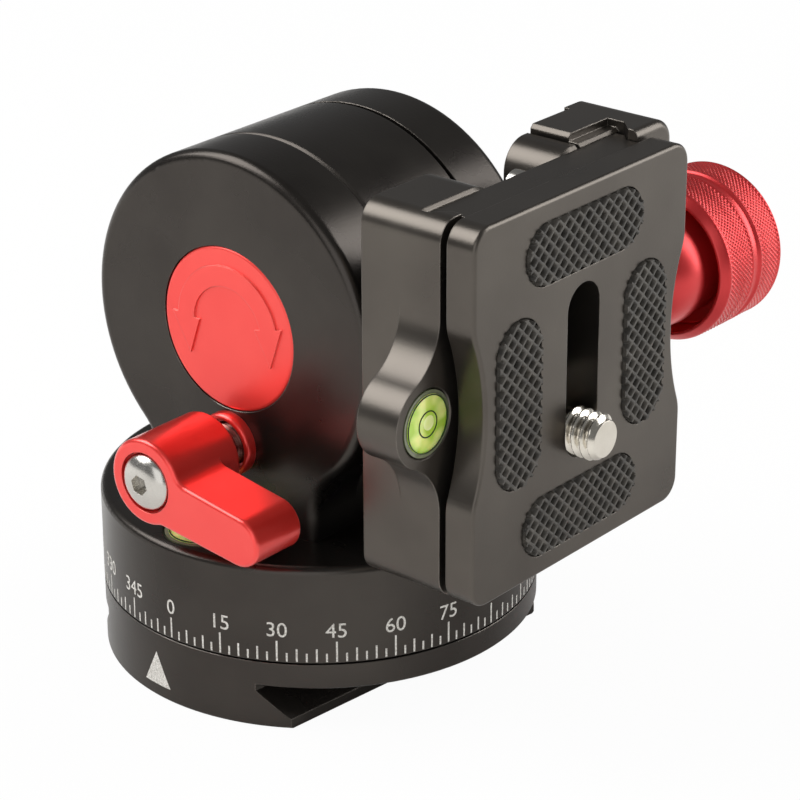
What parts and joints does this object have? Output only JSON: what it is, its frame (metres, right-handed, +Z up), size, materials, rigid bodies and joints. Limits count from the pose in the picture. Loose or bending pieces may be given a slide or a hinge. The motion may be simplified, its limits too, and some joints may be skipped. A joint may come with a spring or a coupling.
{
  "type": "panoramic tripod head",
  "caption": "Panning and tilting tripod head with a graduated round base, a drum-shaped tilt joint and a dovetail quick-release clamp.",
  "frame": {"origin": "centre of the tripod thread's mouth, on the underside of the fixed base", "axes": "+Z up along the panning axis, +X along the tilt axis towards the clamp knob, -Y the way the camera plate faces at rest"},
  "size_m": [0.0857, 0.0792, 0.076],
  "materials": {
    "black_anodised": "satin black anodised",
    "red_anodised": "satin red anodised",
    "stainless": "turned",
    "brass": "turned",
    "nylon": "moulded",
    "rubber": "moulded, matt",
    "level_green": "moulded",
    "level_clear": "clear"
  },
  "bodies": {
    "base": {"base_plate": "black_anodised", "thread_reducer": "brass", "base_screws": "stainless", "pan_spindle": "stainless", "thrust_washer": "nylon", "upper_washer": "nylon", "pan_retainer": "stainless", "retainer_screw": "stainless"},
    "pan": {"pan_housing": "black_anodised", "pan_bushing": "nylon", "pan_vial_cup": "level_green", "pan_vial_lens": "level_clear", "yoke": "black_anodised", "yoke_screws": "stainless", "tilt_bushings": "brass", "friction_washers": "nylon", "cap_left": "red_anodised", "cap_right": "red_anodised", "lock_collar": "red_anodised"},
    "tilt": {"tilt_barrel": "black_anodised", "tilt_shaft": "stainless", "shaft_washers": "stainless", "shaft_screws": "stainless", "clamp_body": "black_anodised", "clamp_screws": "stainless", "guide_pins": "stainless", "jaw_springs": "stainless", "clamp_stud": "stainless", "stud_stop": "stainless", "clamp_vial_cup": "level_green", "clamp_vial_lens": "level_clear"},
    "jaw": {"moving_jaw": "black_anodised", "knob_washer": "nylon"},
    "knob": {"clamp_knob": "red_anodised"},
    "lever": {"lock_lever": "red_anodised", "lock_stud": "stainless", "lever_screw": "stainless"},
    "brake": {"brake_pad": "nylon"},
    "pan_lock": {"pan_lock_knob": "red_anodised", "pan_lock_stud": "stainless", "pan_lock_tip": "nylon"},
    "plate": {"quick_plate": "black_anodised", "stop_screws": "stainless", "pad_upper": "rubber", "pad_lower": "rubber", "pad_left": "rubber", "pad_right": "rubber"},
    "screw_slide": {"screw_washer": "nylon"},
    "camera_screw": {"camera_screw": "stainless"}
  },
  "joints": [
    {"name": "pan", "type": "hinge", "parent": "base", "child": "pan", "pos_m": [0, 0, 0.0235], "axis": [0, 0, 1], "continuous": true},
    {"name": "tilt", "type": "hinge", "parent": "pan", "child": "tilt", "pos_m": [0, 0, 0.05], "axis": [-1, 0, 0], "range_deg": [0, 180]},
    {"name": "knob_turn", "type": "hinge", "parent": "jaw", "child": "knob", "pos_m": [0.04, -0.0298, 0.05], "axis": [1, 0, 0], "range_deg": [0, 2160.1]},
    {"name": "jaw_slide", "type": "slide", "parent": "tilt", "child": "jaw", "axis": [1, 0, 0], "range_m": [0, 0.006]},
    {"name": "lever_turn", "type": "hinge", "parent": "pan", "child": "lever", "pos_m": [-0.025, 0, 0.034], "axis": [-1, 0, 0], "range_deg": [0, 110]},
    {"name": "brake_slide", "type": "slide", "parent": "pan", "child": "brake", "axis": [-1, 0, 0], "range_m": [0, 0.00035]},
    {"name": "pan_lock_turn", "type": "hinge", "parent": "pan", "child": "pan_lock", "pos_m": [0.02308, 0.01916, 0.0152], "axis": [0.7694, 0.6388, 0], "range_deg": [0, 360]},
    {"name": "plate_slide", "type": "slide", "parent": "tilt", "child": "plate", "axis": [0, 0, 1], "range_m": [-0.0015, 0.0015]},
    {"name": "screw_slide", "type": "slide", "parent": "plate", "child": "screw_slide", "axis": [0, 0, 1], "range_m": [0, 0.0168]},
    {"name": "screw_turn", "type": "hinge", "parent": "screw_slide", "child": "camera_screw", "pos_m": [0, -0.0453, 0.04195], "axis": [0, -1, 0], "continuous": true}
  ],
  "couplings": [
    {"joint": "knob_turn", "follows": "jaw_slide", "rad_per_m": 6283.2},
    {"joint": "brake_slide", "follows": "lever_turn", "m_per_rad": 0.00015915}
  ]
}
